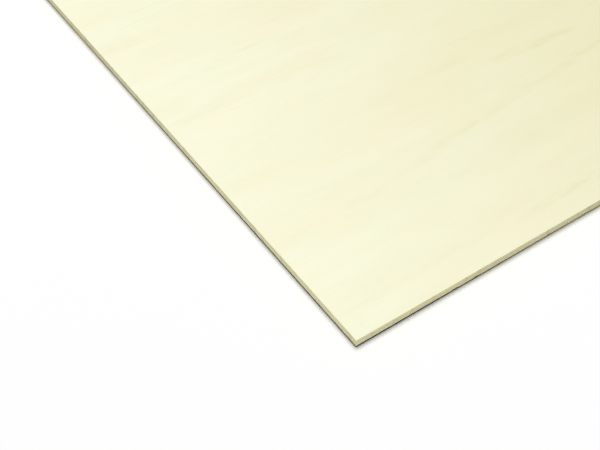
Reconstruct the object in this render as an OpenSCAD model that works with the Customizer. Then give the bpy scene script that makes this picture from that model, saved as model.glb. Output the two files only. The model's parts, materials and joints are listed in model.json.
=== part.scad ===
// Thin three-ply sheet of pale hobby plywood, lying flat.
// Length and face grain run along X, width along Y, and Z is up through the thickness.
// The origin is the middle of the underside. All sizes are in millimetres.

/* [Sheet] */
// Length of the sheet, along the face grain
sheet_length = 600; // [100:5:2500]
// Width of the sheet, across the face grain
sheet_width = 300; // [50:5:1250]
// Thickness through all the plies
sheet_thickness = 3; // [1.5:0.1:12]

/* [Edges] */
// How far each arris is broken, back across the face and down the edge
arris_break = 0.15; // [0.05:0.01:0.5]

/* [Hidden] */

// Outline of the sheet cut square across: a bar of the given span and the sheet's thickness,
// standing on the first axis, with its four corners broken.
module broken_section(span) {
    half = span / 2;
    flat_half = half - arris_break;
    wall_low = arris_break;
    wall_high = sheet_thickness - arris_break;
    polygon([
        [-flat_half, 0],
        [flat_half, 0],
        [half, wall_low],
        [half, wall_high],
        [flat_half, sheet_thickness],
        [-flat_half, sheet_thickness],
        [-half, wall_high],
        [-half, wall_low],
    ]);
}

// Bar with the given section, its length along X.
module sawn_along_x(length) {
    rotate([90, 0, 90])
        linear_extrude(height = length, center = true)
            children();
}

// Bar with the given section, its length along Y.
module sawn_along_y(length) {
    rotate([90, 0, 0])
        linear_extrude(height = length, center = true)
            children();
}

// The two saw cuts meet square at the corners, and the broken arrises run right round both faces.
module plywood_sheet() {
    color([0.97, 0.96, 0.84])
        intersection() {
            sawn_along_x(sheet_length) broken_section(sheet_width);
            sawn_along_y(sheet_width) broken_section(sheet_length);
        }
}

plywood_sheet();
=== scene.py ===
"""Thin sheet of pale three-ply plywood lying flat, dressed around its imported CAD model.

The sheet's face grain runs along X. Its sawn edges show three plies: the two face plies lie along X, and the
core ply between them lies along Y, so each edge has end grain where the other has long grain.
"""

import json
import math

import bpy
import numpy as np
from mathutils import Matrix, Vector


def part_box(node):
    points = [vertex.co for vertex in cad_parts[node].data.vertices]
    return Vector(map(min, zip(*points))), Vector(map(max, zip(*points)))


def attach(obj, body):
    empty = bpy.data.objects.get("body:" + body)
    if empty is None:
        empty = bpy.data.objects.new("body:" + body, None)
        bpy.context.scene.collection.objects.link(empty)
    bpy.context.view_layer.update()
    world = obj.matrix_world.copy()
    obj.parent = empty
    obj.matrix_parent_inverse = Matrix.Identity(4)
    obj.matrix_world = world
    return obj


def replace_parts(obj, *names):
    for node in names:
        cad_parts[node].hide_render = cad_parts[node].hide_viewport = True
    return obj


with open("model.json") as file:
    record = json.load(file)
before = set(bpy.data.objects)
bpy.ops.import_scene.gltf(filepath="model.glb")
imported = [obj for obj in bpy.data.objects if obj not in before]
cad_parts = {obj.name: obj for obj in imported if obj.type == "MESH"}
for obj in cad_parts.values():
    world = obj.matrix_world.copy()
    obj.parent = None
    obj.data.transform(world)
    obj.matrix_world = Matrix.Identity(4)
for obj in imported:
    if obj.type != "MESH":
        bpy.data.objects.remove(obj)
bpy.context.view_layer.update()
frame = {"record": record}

MM = 0.001
SHEET = frame["record"]["subparts"][0]
NODE = SHEET["node"]
BODY = "root"
LOW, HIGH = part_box(NODE)
LENGTH = HIGH.x - LOW.x
WIDTH = HIGH.y - LOW.y
THICKNESS = HIGH.z - LOW.z
PERIMETER = 2 * (LENGTH + WIDTH)
SEED = 31

# Heights of the two glue lines between the plies, above the underside.
GLUE_LINES = (0.32 * THICKNESS, 0.68 * THICKNESS)

# How the sawn edge falls back from the sheet's full outline.
# A chip makes the lower break larger by its growth.
LOWER_BREAK = 0.12 * MM
LOWER_BREAK_HEIGHT = 0.09 * MM
UPPER_BREAK = 0.11 * MM
UPPER_BREAK_HEIGHT = 0.11 * MM
GLUE_GROOVE = 0.03 * MM
GLUE_HALF_HEIGHT = 0.05 * MM
SAW_DEPTH = 0.035 * MM
SAW_PITCH = 1.7 * MM
SAW_SLANT = 0.5
END_GRAIN_DEPTH = 0.045 * MM
LONG_GRAIN_DEPTH = 0.02 * MM
LONG_GRAIN_PITCH = 8 * MM
CHIP_PITCH = 9 * MM
CHIP_LENGTH = (0.8 * MM, 3.5 * MM)
CHIP_GROWTH = (0.2, 0.8)

# Larger tears in the front edge's lower arris, by their distance from its left end.
TEAR_PLACES = (43.1 * MM, 52.6 * MM, 87.0 * MM, 104.0 * MM)
TEAR_LENGTH = 2.6 * MM
TEAR_GROWTH = 4.5

# Slivers of wood that hang in those tears, spread over a share of a tear's length to either side of its
# middle, and smaller ones here and there along every lower arris.
# Each starts inside the wood and ends just inside the sheet's outline.
SLIVERS_PER_TEAR = 6
TEAR_SPREAD = 0.3
TEAR_SLIVER_LENGTH = (0.45 * MM, 0.65 * MM)
SLIVER_PITCH = 4 * MM
SLIVER_LENGTH = (0.15 * MM, 0.35 * MM)
SLIVER_ROOT = 0.22 * MM
SLIVER_CLEAR = 0.01 * MM

# Shares of a sliver's length: its width, how far its tip leans to either side at most, and how deep it bends.
SLIVER_WIDTH = 0.3
SLIVER_LEAN = 0.5
BEND_DEPTH = (0.1, 0.3)
# Shares of its height and of its lean at the bend.
BEND_HEIGHT = 0.5
BEND_LEAN = 0.3
# Corners of its root and of its bend, along the edge and inwards, as shares of its width.
ROOT_CORNERS = ((-0.5, 0.0), (0.5, 0.0), (0.0, 0.6))
BEND_CORNERS = ((-0.4, 0.0), (0.4, 0.0), (0.0, 0.5))

# Columns of points along each edge, which can be halved a few times. The faces have half as many in each of
# those steps inwards. Faces of the mesh that meet at more than the sharp angle aren't smoothed over.
COLUMNS_X = 1216
COLUMNS_Y = 608
HALVINGS = 5
FIRST_STEP = 0.6 * MM
ROWS_PER_PLY = 3
ROWS_PER_ARRIS = 3
SHARP_ANGLE = math.radians(25)

# The sheet's texture map, in pixels: the two faces one above the other, the long edges above them
# and the short edges beside them. The edges are drawn thicker than they are, so that their plies show.
ATLAS = 1024
ATLAS_GAP = 4
FACE_BLOCK = (960, 480)
LONG_STRIP = 22
SHORT_STRIP = 48

# Linear colours of the wood.
PALE = (0.980, 0.970, 0.755)
CREAM = (0.965, 0.945, 0.710)
WARM = (0.78, 0.745, 0.46)
GRAIN = (0.74, 0.725, 0.44)
STREAK = (0.755, 0.715, 0.39)
EDGE_LONG_GRAIN = (0.99, 0.955, 0.61)
EDGE_END_GRAIN = (0.945, 0.90, 0.545)
EDGE_DARK = (0.52, 0.45, 0.22)
EDGE_GREY = (0.49, 0.51, 0.39)

# Factors that multiply the face's colour in its soft patches of redder and greener hue.
REDDER = (1.006, 0.990, 0.972)
GREENER = (0.993, 1.007, 1.012)

# How glossy the wood is, and how deep its finest relief.
FACE_SHINE = 0.25
EDGE_SHINE = 0.2
FACE_RELIEF_MM = 0.02
EDGE_RELIEF_MM = 0.06

# Marks of the wood. A noise gives the size of its grains in millimetres along each axis, and its detail.
# A shade gives a low and a high value of the noise, and how strongly the marks show below and above them.
# On the face, the grain bends a little, and its figure has rings, which come from a wave, and fine lines.
# Over those lie patches of hue, faint clouds, fibres, pores and short dark dashes. Flecks break the dashes
# and the streaks up.
BEND_NOISE = ((300, 120, 5), 1.0)
BEND_MM = 12.0
FIGURE_NOISE = ((420, 30, 2), 2.0)
WAVE_RADIANS = 46.0
RING_CREAM = (-1.0, 1.0, 0.0, 0.3)
RING_SHADE = (0.2, 1.0, 0.0, 0.13)
LINE_NOISE = ((240, 2.6, 2), 2.0)
LINE_SHADE = (0.45, 0.72, 0.0, 0.3)
HUE_NOISE = ((60, 16, 3), 2.0)
HUE_SHADE = (0.3, 0.7, 0.0, 1.0)
CLOUD_NOISE = ((45, 7, 2), 2.0)
CLOUD_SHADE = (0.35, 0.72, 0.0, 0.045)
FIBRE_NOISE = ((26, 0.55, 0.6), 3.0)
FIBRE_SHADE = (0.35, 0.75, 0.0, 0.07)
FIBRE_ROUGHNESS = (0.3, 0.7, 0.62, 0.74)
PORE_NOISE = ((4.5, 0.28, 0.4), 1.0)
PORE_SHADE = (0.66, 0.78, 0.0, 1.0)
PORE_STRENGTH = 0.12
DASH_NOISE = ((45, 2.4, 2), 1.0)
DASH_SHADE = (0.66, 0.78, 0.0, 0.16)
FLECK_NOISE = ((9, 2, 1), 2.0)
FLECK_SHADE = (0.34, 0.64, 0.3, 1.15)

# On the sawn edges there are long fibres in some plies and cells of end grain in the others. A ply turns into
# the next one within a short height, and the glue line's shade goes by the distance from it in millimetres.
LONG_FIBRE_NOISE = ((16, 16, 0.16), 3.0)
CELL_NOISE = ((0.2, 0.2, 0.7), 4.0)
TEXTURE_SHADE = (0.42, 0.72, 0.0, 0.36)
TEXTURE_ROUGHNESS = (0.3, 0.7, 0.72, 0.85)
SAW_NOISE = ((2.5, 2.5, 12), 4.0)
SAW_SHADE = (0.50, 0.72, 0.0, 0.36)
PLY_CHANGE_MM = 0.04
GLUE_SHADE = (0.02, 0.08, 0.35, 0.0)

# Painted light fall-off: the wood is drawn darker and warmer from one distance from the sheet's left end to
# another, up to a share of the warm colour, and the sawn edges less so than the face. Tongues of the painted
# bright end reach along the grain: how far in what the photograph shows, and how far past it. Past it the
# darkening also changes in bands of the wood's own tone.
LIGHT_FALLOFF_MM = (-58, 223)
MOST_FALLOFF = 0.72
EDGE_FALLOFF = 0.25
TONGUE_NOISE = ((400, 15, 8), 1.0)
TONGUE_SHADE = (0.3, 0.7, -1.0, 1.0)
TONGUE_MM = (12, 45)
BAND_NOISE = ((900, 18, 8), 3.0)
BAND_SHADE = (0.3, 0.7, -0.35, 0.15)

# The sawn edges get greyer, and the dark pad's painted shadow paler, from one distance from the near left
# corner to another.
# Along X they do so sooner than along Y, by a factor each. The last value is the most grey that an edge gets.
GREYING_MM = (30, 240)
EDGE_GREYS_ALONG_X = 1.4
SHADOW_PAD_PALES_ALONG_X = 2.2
GREYEST = 0.36

# What the photograph shows ends between these distances from the near left corner, along X and along Y.
# Past it the figure is stronger, and the edges and the dark pad's painted shadow are as they are at that
# corner.
UNSEEN_X_MM = (150, 420)
UNSEEN_Y_MM = (190, 300)

# Streaks of the face grain near the sheet's left end, in millimetres from its near left corner:
# where each starts and ends along X, its Y there, its half width, and how strong it is.
DARK_STREAKS = (
    (6, 70, 11.5, 11, 2.5, 0.10),
    (84, 122, 10, 10.5, 3.5, 0.27),
    (0, 27, 50.5, 49.5, 2.5, 0.08),
    (32, 52, 49.5, 50, 3, 0.12),
    (54, 78, 51, 54.5, 3, 0.12),
    (78, 104, 56.5, 58, 3, 0.24),
    (104, 126, 58, 59.5, 3, 0.17),
    (126, 148, 60, 61.5, 3.5, 0.22),
    (148, 182, 63, 65, 3.5, 0.33),
    (130, 147, 80.5, 79.5, 4, 0.27),
    (145, 170, 79, 78.5, 4, 0.40),
    (106, 122, 90.5, 90.5, 3.5, 0.17),
    (98, 118, 38.5, 39, 4, 0.12),
    (2, 42, 124, 122.5, 5, 0.10),
    (46, 82, 121, 120, 4, 0.10),
    (0, 18, 176.5, 175.5, 4, 0.14),
    (64, 79, 141.5, 140.5, 5, 0.12),
)
LIGHT_STREAKS = (
    (12, 46, 132.5, 132, 5, 0.42),
    (40, 76, 132, 131, 4.5, 0.20),
)
# The share of its length over which a streak fades in and out at each end. The streaks sway from straight
# lines, by up to so many millimetres to either side.
STREAK_FADE = 0.2
SWAY_NOISE = ((22, 10, 5), 2.0)
SWAY_SHADE = (0.3, 0.7, -0.9, 0.9)

# The photograph's camera, which sees the sheet's near upper corner at a known pixel of its picture.
FRAME_PX = (600, 450)
CORNER_PX = (356.2, 341.0)
CORNER_DEPTH = 0.417
LENS_MM = 75.0
SENSOR_MM = 36.0
AZIMUTH = math.radians(-34.85)
ELEVATION = math.radians(48.72)

# Light: a large soft lamp high above the sheet, leaning a little towards its back edge, in a dim pale room.
LAMP_SIZE = 2.8
LAMP_DISTANCE = 5.0
LAMP_ALTITUDE = math.radians(80.5)
LAMP_AZIMUTH = math.radians(76)
LAMP_WATTS = 176.0
ROOM_LIGHT = 0.372

# Painted shade: a thin dark pad, a little smaller than the sheet, holds it just off a white floor and stands
# in for the shadow gap under its edges.
# The light that the floor throws back is a little less than white.
# Far away, where the lamp doesn't reach, the floor glows as white as the room.
SHADOW_PAD_HEIGHT = 1.0 * MM
SHADOW_PAD_INSET = 0.27 * MM
SHADOW_PAD_COLOUR = (0.035, 0.027, 0.004)
SHADOW_PAD_PALER = (0.42, 0.35, 0.13)
FLOOR_SIZE = 40.0
FLOOR_DEPTH = 0.01
FLOOR_BOUNCE = (0.92, 0.92, 0.92)
FLOOR_GLOW_MM = (900, 2000)
WHITE = (1.0, 1.0, 1.0)
BLACK = (0.0, 0.0, 0.0)


def perimeter_columns(columns_x, columns_y):
    """For each point round the sheet, the direction inwards and whether its edge runs along X.

    The third result is the corners' places among those points.
    """
    counts = (columns_x, columns_y, columns_x, columns_y)
    inward = np.repeat([(0, 1), (-1, 0), (0, -1), (1, 0)], counts, axis=0).astype(float)
    runs_x = np.repeat([True, False, True, False], counts)
    corners = np.cumsum((0,) + counts[:3])
    return inward, runs_x, corners


def ring(columns_x, columns_y, inset, height, extra=0.0):
    """Points once round the sheet, anticlockwise from its near left corner, at one height.

    inset is the distance in from the sheet's outline, and extra is added to it except at the corners.
    """
    inward, _, corners = perimeter_columns(columns_x, columns_y)
    x = np.linspace(LOW.x + inset, HIGH.x - inset, columns_x + 1)
    y = np.linspace(LOW.y + inset, HIGH.y - inset, columns_y + 1)
    points = np.empty((len(inward), 3))
    points[:, 0] = np.concatenate([x[:-1], np.full(columns_y, x[-1]), x[:0:-1], np.full(columns_y, x[0])])
    points[:, 1] = np.concatenate([np.full(columns_x, y[0]), y[:-1], np.full(columns_x, y[-1]), y[:0:-1]])
    points[:, 2] = height
    depth = np.zeros(len(inward)) + extra
    depth[corners] = 0.0
    points[:, :2] += inward * depth[:, None]
    return points


def stitch(first, second):
    """Faces from one ring of vertex numbers to the next, which is as fine, half as fine or twice as fine."""
    if len(first) < len(second):
        return [face[::-1] for face in stitch(second, first)]
    if len(first) == len(second):
        return [(first[k - 1], first[k], second[k], second[k - 1]) for k in range(len(first))]
    faces = []
    for k in range(len(second)):
        before, halfway, after = first[2 * k - 2], first[2 * k - 1], first[2 * k]
        start, end = second[k - 1], second[k]
        faces += [(before, halfway, start), (halfway, end, start), (halfway, after, end)]
    return faces


def wandering(positions, pitch, rng):
    """Random values from 0 to 1 that change smoothly along the perimeter."""
    knots = rng.random(round(PERIMETER / pitch))
    return np.interp(positions, np.arange(len(knots)) * PERIMETER / len(knots), knots, period=PERIMETER)


def chipped(positions, rng):
    """How much the lower arris is torn along the perimeter, from 0 where it is whole."""
    torn = np.zeros(len(positions))
    for _ in range(round(PERIMETER / CHIP_PITCH)):
        away = np.abs((positions - rng.random() * PERIMETER + PERIMETER / 2) % PERIMETER - PERIMETER / 2)
        half = rng.uniform(*CHIP_LENGTH) / 2
        torn = np.maximum(torn, rng.uniform(*CHIP_GROWTH) * np.clip(1 - away / half, 0, 1))
    for place in TEAR_PLACES:
        away = np.abs(positions - place)
        torn = np.maximum(torn, TEAR_GROWTH * np.clip(1 - away / (TEAR_LENGTH / 2), 0, 1))
    return torn


def edge_heights():
    """Heights of the rows of points on the sawn edge: close at arrises and glue lines, even in between."""
    levels = [LOWER_BREAK_HEIGHT]
    for glue in GLUE_LINES:
        levels += [glue - GLUE_HALF_HEIGHT, glue + GLUE_HALF_HEIGHT]
    levels.append(THICKNESS - UPPER_BREAK_HEIGHT)
    heights = list(np.linspace(0, LOWER_BREAK_HEIGHT, ROWS_PER_ARRIS, endpoint=False))
    for low, high in zip(levels[0::2], levels[1::2]):
        heights += list(np.linspace(low, high, ROWS_PER_PLY + 1))
    heights += GLUE_LINES
    heights += list(np.linspace(THICKNESS, THICKNESS - UPPER_BREAK_HEIGHT, ROWS_PER_ARRIS, endpoint=False))
    return sorted(heights)


def edge_rings(rng):
    """Rings of points up the sawn edge, with its broken arrises, chips, saw marks, grain and glue lines."""
    _, runs_x, _ = perimeter_columns(COLUMNS_X, COLUMNS_Y)
    along = np.arange(len(runs_x)) * PERIMETER / len(runs_x)
    chips = chipped(along, rng)
    saw_knots = rng.random(round(PERIMETER / SAW_PITCH))
    saw_places = np.arange(len(saw_knots)) * PERIMETER / len(saw_knots)
    rings = []
    for height in edge_heights():
        core = GLUE_LINES[0] < height < GLUE_LINES[1]
        saw = np.interp(along + SAW_SLANT * height, saw_places, saw_knots, period=PERIMETER)
        end_grain = END_GRAIN_DEPTH * rng.random(len(along))
        long_grain = LONG_GRAIN_DEPTH * wandering(along, LONG_GRAIN_PITCH, rng)
        relief = SAW_DEPTH * saw + np.where(runs_x == core, end_grain, long_grain)
        lower = np.clip(1 - height / (LOWER_BREAK_HEIGHT * (1 + chips)), 0, 1)
        relief += LOWER_BREAK * (1 + chips) * lower ** 2
        upper = max(0, 1 - (THICKNESS - height) / UPPER_BREAK_HEIGHT)
        relief += UPPER_BREAK * upper ** 2
        if height in GLUE_LINES:
            relief += GLUE_GROOVE
        rings.append(ring(COLUMNS_X, COLUMNS_Y, relief.min(), LOW.z + height, relief - relief.min()))
    return rings


def face_rings(rim_inset, height):
    """Rings inwards from a face's rim, each half as fine as the one before."""
    rings = []
    for step in range(1, HALVINGS + 1):
        inset = rim_inset + FIRST_STEP * (2 ** step - 1)
        rings.append(ring(COLUMNS_X >> step, COLUMNS_Y >> step, inset, height))
    return rings


def face_middle(outline, first_number):
    """Points and faces that fill the upper face's innermost ring, from its points and first vertex number."""
    across = COLUMNS_X >> HALVINGS
    up = COLUMNS_Y >> HALVINGS
    outer = first_number + np.arange(len(outline))
    inner = first_number + len(outline) + np.arange((up - 1) * (across - 1))
    numbers = np.empty((up + 1, across + 1), int)
    numbers[0] = outer[:across + 1]
    numbers[:, -1] = outer[across:across + up + 1]
    numbers[-1, ::-1] = outer[across + up:2 * across + up + 1]
    numbers[1:, 0] = outer[:2 * across + up - 1:-1]
    numbers[1:-1, 1:-1] = inner.reshape(up - 1, across - 1)
    x, y = np.meshgrid(outline[1:across, 0], outline[across + 1:across + up, 1])
    points = np.stack([x, y, np.full(x.shape, outline[0, 2])], axis=-1).reshape(-1, 3)
    corners = np.stack([numbers[:-1, :-1], numbers[:-1, 1:], numbers[1:, 1:], numbers[1:, :-1]], axis=-1)
    return points, corners.reshape(-1, 4)


def sheet_mesh():
    """The whole sheet as one closed mesh."""
    walls = edge_rings(np.random.default_rng(SEED))
    lower = face_rings(walls[0][0, 1] - LOW.y, LOW.z)
    upper = face_rings(walls[-1][0, 1] - LOW.y, HIGH.z)
    rings = lower[::-1] + walls + upper
    starts = np.cumsum([0] + [len(points) for points in rings])
    numbers = [range(first, last) for first, last in zip(starts[:-1], starts[1:])]
    faces = []
    for first, second in zip(numbers[:-1], numbers[1:]):
        faces += stitch(first, second)
    # The lower face's middle is the upper one's turned over.
    # Its ring is the first of all, and its points are the last.
    top_points, top_faces = face_middle(rings[-1], starts[-2])
    under_points = top_points * (1, 1, 0) + (0, 0, LOW.z)
    under_faces = top_faces[:, ::-1] - starts[-2]
    under_faces[under_faces >= len(rings[0])] += starts[-1] + len(top_points) - len(rings[0])
    faces += top_faces.tolist() + under_faces.tolist()
    mesh = bpy.data.meshes.new(NODE)
    mesh.from_pydata(np.concatenate(rings + [top_points, under_points]), [], faces)
    mesh.shade_smooth()
    mesh.set_sharp_from_angle(angle=SHARP_ANGLE)
    return mesh


def slivers(start, run, along, length, rng):
    """Points and faces of slivers that hang from one edge's lower arris.

    start is the corner that the edge runs from, run is its direction, along holds each sliver's place on it,
    and length each sliver's length. A sliver is a triangle at its root, another where it bends, and a tip.
    """
    lean = length * rng.uniform(-SLIVER_LEAN, SLIVER_LEAN, len(along))
    bend_depth = SLIVER_CLEAR + length * rng.uniform(*BEND_DEPTH, len(along))
    bend_along = along + BEND_LEAN * lean
    top = SLIVER_CLEAR + length
    width = SLIVER_WIDTH * length
    places = []
    for across, inwards in ROOT_CORNERS:
        places.append((along + across * width, SLIVER_ROOT + inwards * width, top))
    for across, inwards in BEND_CORNERS:
        places.append((bend_along + across * width, bend_depth + inwards * width, BEND_HEIGHT * top))
    clear = np.full(len(along), SLIVER_CLEAR)
    places.append((along + lean, clear, clear))
    inward = np.array((-run[1], run[0], 0.0))
    points = [
        start + np.outer(place, run) + np.outer(depth, inward) + np.outer(height, (0, 0, 1))
        for place, depth, height in places
    ]
    sides = [(0, 1, 2), (0, 3, 4, 1), (1, 4, 5, 2), (2, 5, 3, 0), (3, 6, 4), (4, 6, 5), (5, 6, 3)]
    faces = [[len(places) * k + corner for corner in side] for k in range(len(along)) for side in sides]
    return np.stack(points, axis=1).reshape(-1, 3), faces


def torn_fibre_mesh():
    """All the slivers along the sheet's lower arrises, as one mesh of closed spikes."""
    rng = np.random.default_rng(SEED + 1)
    near_left, near_right = (LOW.x, LOW.y, LOW.z), (HIGH.x, LOW.y, LOW.z)
    far_left, far_right = (LOW.x, HIGH.y, LOW.z), (HIGH.x, HIGH.y, LOW.z)
    edges = (
        (near_left, (1, 0, 0), LENGTH),
        (near_right, (0, 1, 0), WIDTH),
        (far_right, (-1, 0, 0), LENGTH),
        (far_left, (0, -1, 0), WIDTH),
    )
    points = []
    faces = []
    for start, run, span in edges:
        along = rng.uniform(SLIVER_PITCH, span - SLIVER_PITCH, round(span / SLIVER_PITCH))
        length = rng.uniform(*SLIVER_LENGTH, len(along))
        if start == near_left:
            count = SLIVERS_PER_TEAR * len(TEAR_PLACES)
            spread = rng.uniform(-TEAR_SPREAD, TEAR_SPREAD, count) * TEAR_LENGTH
            along = np.append(along, np.repeat(TEAR_PLACES, SLIVERS_PER_TEAR) + spread)
            length = np.append(length, rng.uniform(*TEAR_SLIVER_LENGTH, count))
        more_points, more_faces = slivers(np.array(start), run, along, length, rng)
        first = sum(len(some) for some in points)
        faces += [[first + corner for corner in face] for face in more_faces]
        points.append(more_points)
    mesh = bpy.data.meshes.new("torn_fibres")
    mesh.from_pydata(np.concatenate(points), [], faces)
    return mesh


def sheet_patches(mesh):
    """For each face of the sheet's mesh: 0 on top, 1 underneath, or 2 to 5 for its edge, front edge first."""
    centres = np.empty(len(mesh.polygons) * 3)
    mesh.polygons.foreach_get("center", centres)
    x, y, z = centres.reshape(-1, 3).T
    edge = 2 + np.argmin([y - LOW.y, HIGH.x - x, HIGH.y - y, x - LOW.x], axis=0)
    flat_within = 0.001 * MM
    return np.select([HIGH.z - z < flat_within, z - LOW.z < flat_within], [0, 1], edge)


def lay_out(mesh, patches):
    """The sheet's texture map, with the faces at one scale and the edges spread out in strips."""
    corner_vertex = np.empty(len(mesh.loops), int)
    mesh.loops.foreach_get("vertex_index", corner_vertex)
    places = np.empty(len(mesh.vertices) * 3)
    mesh.vertices.foreach_get("co", places)
    x, y, z = ((places.reshape(-1, 3) - LOW) / (HIGH - LOW))[corner_vertex].T
    sides = np.empty(len(mesh.polygons), int)
    mesh.polygons.foreach_get("loop_total", sides)
    patch = np.repeat(patches, sides)
    face_u, face_v = FACE_BLOCK
    second_face = ATLAS_GAP + face_v + ATLAS_GAP
    beside = ATLAS_GAP + face_u + ATLAS_GAP
    first_long = second_face + face_v + ATLAS_GAP
    second_long = first_long + LONG_STRIP + ATLAS_GAP
    # One entry for each patch, in the order of their numbers.
    u_left = [ATLAS_GAP, ATLAS_GAP, ATLAS_GAP, beside, ATLAS_GAP, beside]
    v_low = [ATLAS_GAP, second_face, first_long, ATLAS_GAP, second_long, second_face]
    u_size = [face_u, face_u, face_u, SHORT_STRIP, face_u, SHORT_STRIP]
    v_size = [face_v, face_v, LONG_STRIP, face_v, LONG_STRIP, face_v]
    u_share = np.choose(patch, [x, 1 - x, x, z, 1 - x, 1 - z])
    v_share = np.choose(patch, [y, y, z, y, z, y])
    u = np.take(u_left, patch) + np.take(u_size, patch) * u_share
    v = np.take(v_low, patch) + np.take(v_size, patch) * v_share
    layer = mesh.uv_layers.new(name="OFBake")
    layer.data.foreach_set("uv", np.stack([u, v], axis=-1).ravel() / ATLAS)


class Paint:
    """A material, with short ways to add the nodes that feed its shader. Places in it are in millimetres."""

    def __init__(self, name, shine):
        self.material = bpy.data.materials.new(name)
        self.material.use_nodes = True
        self.tree = self.material.node_tree
        self.shader = self.tree.nodes["Principled BSDF"]
        self.shader.inputs["Specular IOR Level"].default_value = shine
        metres = self.node("ShaderNodeTexCoord").outputs["Object"]
        self.place = self.stretch(metres, (MM, MM, MM))
        self.axes = self.node("ShaderNodeSeparateXYZ", self.place).outputs

    def feed(self, socket, source):
        """Links a socket to another one, or gives it a value."""
        if isinstance(source, bpy.types.NodeSocket):
            self.tree.links.new(source, socket)
        elif socket.type == "RGBA":
            socket.default_value = (*source, 1.0)
        else:
            socket.default_value = source

    def node(self, kind, *sources, **settings):
        """Adds a node, with its settings and its first inputs."""
        made = self.tree.nodes.new(kind)
        for name, value in settings.items():
            setattr(made, name, value)
        for socket, source in zip(made.inputs, sources):
            self.feed(socket, source)
        return made

    def stretch(self, place, size):
        """A place measured in steps of the given size along each axis."""
        made = self.node("ShaderNodeMapping", place)
        made.inputs["Scale"].default_value = [1 / step for step in size]
        return made.outputs["Vector"]

    def math(self, operation, *values):
        """What an operation makes of one or more values."""
        return self.node("ShaderNodeMath", *values, operation=operation).outputs["Value"]

    def noise(self, size, detail, place=None):
        """Noise from 0 to 1 whose grains have the given size in millimetres."""
        made = self.node("ShaderNodeTexNoise", self.stretch(place or self.place, size))
        made.inputs["Scale"].default_value = 1.0
        made.inputs["Detail"].default_value = detail
        return made.outputs["Fac"]

    def ramp(self, value, low, high, to_low=0.0, to_high=1.0):
        """A smooth step: to_low up to the value low, and to_high from the value high on."""
        made = self.node("ShaderNodeMapRange", value, low, high, to_low, to_high)
        made.interpolation_type = "SMOOTHSTEP"
        return made.outputs["Result"]

    def marks(self, noise, shade, place=None):
        """How strongly marks of the given noise and shade show."""
        return self.ramp(self.noise(*noise, place), *shade)

    def mix(self, share, first, second, kind="Color", blend="MIX"):
        """The second colour laid over the first by a share. If the kind is Float, both are numbers."""
        made = self.node("ShaderNodeMix", data_type="RGBA" if kind == "Color" else "FLOAT", blend_type=blend)
        inputs = {socket.identifier: socket for socket in made.inputs}
        self.feed(inputs["Factor_Float"], share)
        self.feed(inputs["A_" + kind], first)
        self.feed(inputs["B_" + kind], second)
        return {socket.identifier: socket for socket in made.outputs}["Result_" + kind]

    def finish(self, colour, roughness, height, depth):
        """Feeds the shader its colour, its roughness and a relief of the given depth in millimetres."""
        relief = self.node("ShaderNodeBump")
        relief.inputs["Distance"].default_value = depth * MM
        self.feed(relief.inputs["Height"], height)
        self.feed(self.shader.inputs["Base Color"], colour)
        self.feed(self.shader.inputs["Roughness"], roughness)
        self.feed(self.shader.inputs["Normal"], relief.outputs["Normal"])
        return self.material


def from_corner(paint):
    """Distances from the sheet's near left corner, along X and along Y."""
    x = paint.math("SUBTRACT", paint.axes["X"], LOW.x / MM)
    y = paint.math("SUBTRACT", paint.axes["Y"], LOW.y / MM)
    return x, y


def streak(paint, x, y, start, end, start_y, end_y, half_width, strength):
    """How strongly one streak of the face grain shows at a distance x, y from the near left corner."""
    along = paint.math("SUBTRACT", x, start)
    middle = paint.math("MULTIPLY_ADD", along, (end_y - start_y) / (end - start), start_y)
    aside = paint.math("ABSOLUTE", paint.math("SUBTRACT", y, middle))
    across = paint.ramp(aside, 0.0, half_width, strength, 0.0)
    fade = STREAK_FADE * (end - start)
    lead_in = paint.ramp(along, -fade, fade)
    lead_out = paint.ramp(along, end - start - fade, end - start + fade, 1.0, 0.0)
    return paint.math("MULTIPLY", across, paint.math("MULTIPLY", lead_in, lead_out))


def streaks(paint, places):
    """How strongly any of several streaks shows at a place."""
    x, y = from_corner(paint)
    y = paint.math("ADD", y, paint.marks(SWAY_NOISE, SWAY_SHADE))
    total = 0.0
    for place in places:
        total = paint.math("MAXIMUM", total, streak(paint, x, y, *place))
    return total


def unseen(paint):
    """0 at the places that the photograph shows, rising to 1 over the rest of the sheet."""
    x, y = from_corner(paint)
    return paint.math("MAXIMUM", paint.ramp(x, *UNSEEN_X_MM), paint.ramp(y, *UNSEEN_Y_MM))


def greying(paint, along_x):
    """0 at the near left corner, rising to 1 away from it, and 0 again past what the photograph shows.

    It rises along_x times as soon along X as along Y.
    """
    x, y = from_corner(paint)
    rise = paint.ramp(paint.math("MULTIPLY_ADD", x, along_x, y), *GREYING_MM)
    return paint.math("MULTIPLY", rise, paint.math("SUBTRACT", 1.0, unseen(paint)))


def light_falloff_and_tone(paint, place):
    """How much painted light fall-off darkens and warms the wood: least at the sheet's left end, and in bands
    of the wood's own tone along the grain elsewhere.
    """
    x, _ = from_corner(paint)
    past = unseen(paint)
    tongues = paint.marks(TONGUE_NOISE, TONGUE_SHADE, place)
    reach = paint.math("MULTIPLY", tongues, paint.mix(past, *TONGUE_MM, "Float"))
    rise = paint.ramp(paint.math("ADD", x, reach), *LIGHT_FALLOFF_MM, 0.0, MOST_FALLOFF)
    bands = paint.math("MULTIPLY", paint.marks(BAND_NOISE, BAND_SHADE, place), past)
    return paint.math("MULTIPLY", rise, paint.math("ADD", 1.0, bands))


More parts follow.
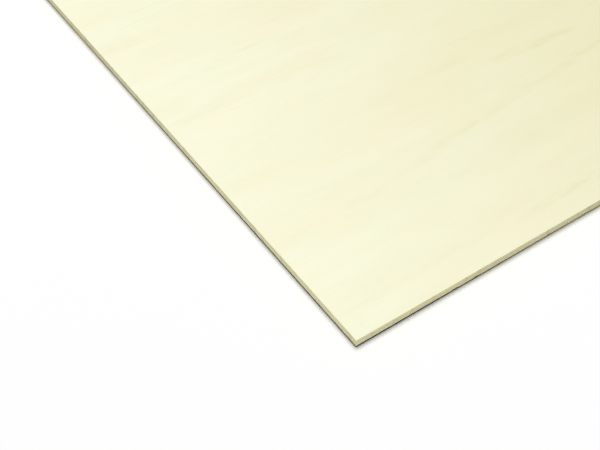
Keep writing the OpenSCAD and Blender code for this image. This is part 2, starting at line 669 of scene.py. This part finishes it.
def veneer():
    """The sanded face: very pale wood with faint long figure, fine fibres and short pores."""
    paint = Paint("veneer_face", FACE_SHINE)
    wander = paint.math("MULTIPLY", paint.noise(*BEND_NOISE), BEND_MM)
    bent_y = paint.math("ADD", paint.axes["Y"], wander)
    grain = paint.node("ShaderNodeCombineXYZ", paint.axes["X"], bent_y, paint.axes["Z"]).outputs["Vector"]
    wave = paint.math("SINE", paint.math("MULTIPLY", paint.noise(*FIGURE_NOISE, grain), WAVE_RADIANS))
    fibres = paint.noise(*FIBRE_NOISE, grain)
    pores = paint.marks(PORE_NOISE, PORE_SHADE, grain)
    colour = paint.mix(paint.ramp(wave, *RING_CREAM), PALE, CREAM)
    # Painted light fall-off: the face is drawn darker and warmer away from its left end, with bands of the
    # wood's own tone past it.
    colour = paint.mix(light_falloff_and_tone(paint, grain), colour, WARM)
    figure = paint.math("ADD", paint.ramp(wave, *RING_SHADE), paint.marks(LINE_NOISE, LINE_SHADE, grain))
    colour = paint.mix(paint.math("MULTIPLY", figure, unseen(paint)), colour, GRAIN)
    hue = paint.mix(paint.marks(HUE_NOISE, HUE_SHADE, grain), GREENER, REDDER)
    colour = paint.mix(1.0, colour, hue, blend="MULTIPLY")
    colour = paint.mix(streaks(paint, LIGHT_STREAKS), colour, PALE)
    colour = paint.mix(paint.marks(CLOUD_NOISE, CLOUD_SHADE, grain), colour, GRAIN)
    colour = paint.mix(paint.ramp(fibres, *FIBRE_SHADE), colour, GRAIN)
    colour = paint.mix(paint.math("MULTIPLY", pores, PORE_STRENGTH), colour, GRAIN)
    dark = paint.math("MAXIMUM", paint.marks(DASH_NOISE, DASH_SHADE, grain), streaks(paint, DARK_STREAKS))
    flecked = paint.math("MULTIPLY", dark, paint.marks(FLECK_NOISE, FLECK_SHADE, grain))
    colour = paint.mix(flecked, colour, STREAK)
    roughness = paint.ramp(fibres, *FIBRE_ROUGHNESS)
    return paint.finish(colour, roughness, paint.math("SUBTRACT", fibres, pores), FACE_RELIEF_MM)


def sawn_edge(name, along_x):
    """A sawn edge that runs along X or along Y, with long grain in some plies and end grain in the others."""
    paint = Paint(name, EDGE_SHINE)
    from_middle = paint.math("ABSOLUTE", paint.math("SUBTRACT", paint.axes["Z"], 0.5 * THICKNESS / MM))
    glue = 0.5 * (GLUE_LINES[1] - GLUE_LINES[0]) / MM
    from_glue = paint.math("ABSOLUTE", paint.math("SUBTRACT", from_middle, glue))
    core = paint.ramp(from_middle, glue - PLY_CHANGE_MM, glue + PLY_CHANGE_MM, 1.0, 0.0)
    end_share = core if along_x else paint.math("SUBTRACT", 1.0, core)
    texture = paint.mix(end_share, paint.noise(*LONG_FIBRE_NOISE), paint.noise(*CELL_NOISE), "Float")
    colour = paint.mix(end_share, EDGE_LONG_GRAIN, EDGE_END_GRAIN)
    # Painted light fall-off on the sawn edges too, weaker than on the face.
    colour = paint.mix(paint.math("MULTIPLY", light_falloff_and_tone(paint, paint.place), EDGE_FALLOFF), colour, WARM)
    colour = paint.mix(paint.ramp(texture, *TEXTURE_SHADE), colour, EDGE_DARK)
    colour = paint.mix(paint.ramp(from_glue, *GLUE_SHADE), colour, EDGE_DARK)
    colour = paint.mix(paint.marks(SAW_NOISE, SAW_SHADE), colour, EDGE_DARK)
    grey = paint.math("MULTIPLY", greying(paint, EDGE_GREYS_ALONG_X), GREYEST)
    colour = paint.mix(grey, colour, EDGE_GREY)
    return paint.finish(colour, paint.ramp(texture, *TEXTURE_ROUGHNESS), texture, EDGE_RELIEF_MM)


def add_piece(name, mesh):
    """Puts a mesh in the scene as a piece of the sheet."""
    piece = bpy.data.objects.new(name, mesh)
    bpy.context.scene.collection.objects.link(piece)
    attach(piece, BODY)
    return piece


def make_sheet():
    """The sheet with its materials, in place of the CAD solid, and the fibres torn loose from it."""
    long_edge = sawn_edge("long_edge", True)
    mesh = sheet_mesh()
    patches = sheet_patches(mesh)
    lay_out(mesh, patches)
    for material in (veneer(), long_edge, sawn_edge("short_edge", False)):
        mesh.materials.append(material)
    # Both faces take the first material, and the edges take the other two in turn.
    mesh.polygons.foreach_set("material_index", np.choose(patches, [0, 0, 1, 2, 1, 2]).astype(np.int32))
    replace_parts(add_piece("sheet", mesh), NODE)
    fibres = torn_fibre_mesh()
    fibres.materials.append(long_edge)
    add_piece("torn_fibres", fibres)


def seen_directly(tree):
    """1 for what the camera, a reflection or glass sees, and 0 for light that falls on other surfaces."""
    rays = tree.nodes.new("ShaderNodeLightPath").outputs
    share = rays["Is Camera Ray"]
    for name in ("Is Glossy Ray", "Is Transmission Ray"):
        either = tree.nodes.new("ShaderNodeMath")
        either.operation = "MAXIMUM"
        tree.links.new(share, either.inputs[0])
        tree.links.new(rays[name], either.inputs[1])
        share = either.outputs["Value"]
    return share


def stage_block(name, length, width, low, high):
    """Makes a plain block that isn't part of the sheet, centred under it, and returns its matte paint."""
    mesh = bpy.data.meshes.new(name)
    corners = [(x * length / 2, y * width / 2, z) for z in (low, high) for y in (-1, 1) for x in (-1, 1)]
    sides = [(0, 2, 3, 1), (4, 5, 7, 6), (0, 1, 5, 4), (2, 6, 7, 3), (0, 4, 6, 2), (1, 3, 7, 5)]
    mesh.from_pydata(corners, [], sides)
    paint = Paint(name, shine=0.0)
    paint.shader.inputs["Roughness"].default_value = 1.0
    mesh.materials.append(paint.material)
    block = bpy.data.objects.new(name, mesh)
    bpy.context.scene.collection.objects.link(block)
    return paint


def make_stage():
    """A white floor, which keeps the sheet's shadow, and a dark pad between it and the sheet, which paints
    the shadow gap under the sheet's edges.
    """
    height = LOW.z - SHADOW_PAD_HEIGHT
    floor = stage_block("floor", FLOOR_SIZE, FLOOR_SIZE, height - FLOOR_DEPTH, height)
    away = floor.node("ShaderNodeVectorMath", floor.place, operation="LENGTH").outputs["Value"]
    glow = floor.ramp(away, *FLOOR_GLOW_MM)
    colour = floor.mix(seen_directly(floor.tree), FLOOR_BOUNCE, WHITE)
    floor.feed(floor.shader.inputs["Base Color"], floor.mix(glow, colour, BLACK))
    floor.feed(floor.shader.inputs["Emission Color"], WHITE)
    floor.feed(floor.shader.inputs["Emission Strength"], glow)
    # Painted shade: the dark pad stands in for the shadow gap under the sheet's edges, and is drawn paler
    # away from the near left corner.
    smaller = 2 * SHADOW_PAD_INSET
    shadow_pad = stage_block("shadow_pad", LENGTH - smaller, WIDTH - smaller, height, LOW.z)
    colour = shadow_pad.mix(greying(shadow_pad, SHADOW_PAD_PALES_ALONG_X), SHADOW_PAD_COLOUR, SHADOW_PAD_PALER)
    shadow_pad.feed(shadow_pad.shader.inputs["Base Color"], colour)


def camera_axes():
    """The photograph's camera directions: to its right, up and forward."""
    right = Vector((math.cos(AZIMUTH), math.sin(AZIMUTH), 0.0))
    level = Vector((-math.sin(AZIMUTH), math.cos(AZIMUTH), 0.0))
    forward = level * math.cos(ELEVATION) - Vector((0.0, 0.0, math.sin(ELEVATION)))
    return right, right.cross(forward), forward


def make_camera():
    """The photograph's camera, placed so that the near upper corner falls on its pixel."""
    right, up, forward = camera_axes()
    pixels = LENS_MM / SENSOR_MM * FRAME_PX[0]
    across = (CORNER_PX[0] - FRAME_PX[0] / 2) / pixels
    rise = (FRAME_PX[1] / 2 - CORNER_PX[1]) / pixels
    corner = Vector((LOW.x, LOW.y, HIGH.z))
    data = bpy.data.cameras.new("camera")
    data.lens = LENS_MM
    data.sensor_width = SENSOR_MM
    camera = bpy.data.objects.new("camera", data)
    camera.matrix_world = Matrix((right, up, -forward)).transposed().to_4x4()
    camera.location = corner - CORNER_DEPTH * (forward + across * right + rise * up)
    bpy.context.scene.collection.objects.link(camera)
    bpy.context.scene.camera = camera


def make_light():
    """A large soft lamp, and an even pale room that is white where it is seen."""
    lean = math.cos(LAMP_ALTITUDE)
    towards = Vector((lean * math.cos(LAMP_AZIMUTH), lean * math.sin(LAMP_AZIMUTH), math.sin(LAMP_ALTITUDE)))
    data = bpy.data.lights.new("lamp", "AREA")
    data.size = LAMP_SIZE
    data.energy = LAMP_WATTS
    lamp = bpy.data.objects.new("lamp", data)
    lamp.rotation_euler = towards.to_track_quat("Z", "Y").to_euler()
    lamp.location = LAMP_DISTANCE * towards
    bpy.context.scene.collection.objects.link(lamp)
    world = bpy.data.worlds.new("room")
    world.use_nodes = True
    tree = world.node_tree
    room = tree.nodes["Background"]
    room.inputs["Color"].default_value = (*WHITE, 1.0)
    strength = tree.nodes.new("ShaderNodeMapRange")
    strength.inputs["To Min"].default_value = ROOM_LIGHT
    tree.links.new(seen_directly(tree), strength.inputs["Value"])
    tree.links.new(strength.outputs["Result"], room.inputs["Strength"])
    bpy.context.scene.world = world


bpy.context.scene.view_settings.view_transform = "Standard"
make_camera()
make_light()
make_stage()
make_sheet()
